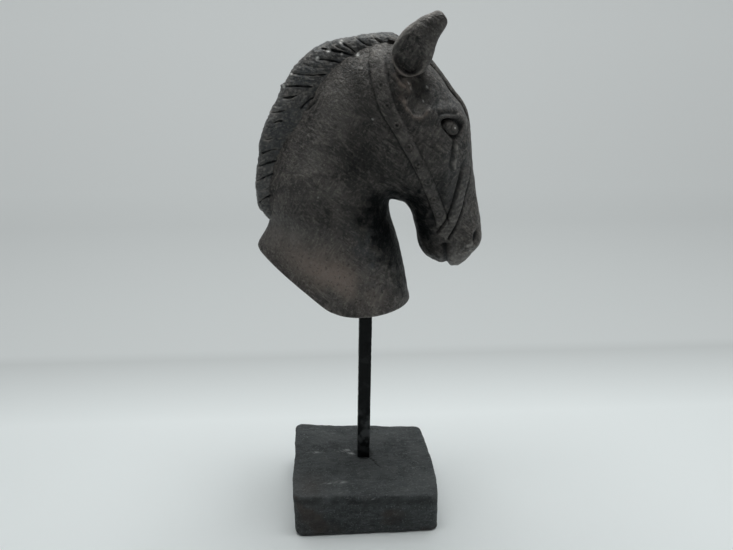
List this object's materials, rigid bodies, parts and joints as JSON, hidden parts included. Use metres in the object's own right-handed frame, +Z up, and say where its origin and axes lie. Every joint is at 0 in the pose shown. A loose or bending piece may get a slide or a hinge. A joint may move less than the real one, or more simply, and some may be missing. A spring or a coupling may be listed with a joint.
{
  "type": "horse head statue",
  "caption": "Dark terracotta horse head with a stroked mane and bridle, held by a square iron bar over a rough slate-grey block; a standing ornament.",
  "frame": {"origin": "on the ground, under the middle of the block", "axes": "+Z up along the bar, +X the way the horse faces, -Y the side that the picture shows"},
  "size_m": [0.1324, 0.083, 0.2999],
  "materials": {
    "block": "matt slate grey, brushed and chipped",
    "bar": "black paint, worn grey in places",
    "terracotta": "smoke-darkened fired clay, matt with a slight sheen"
  },
  "bodies": {
    "root": {"base_block": "block", "iron_bar": "bar", "horse_head": "terracotta"}
  },
  "joints": []
}
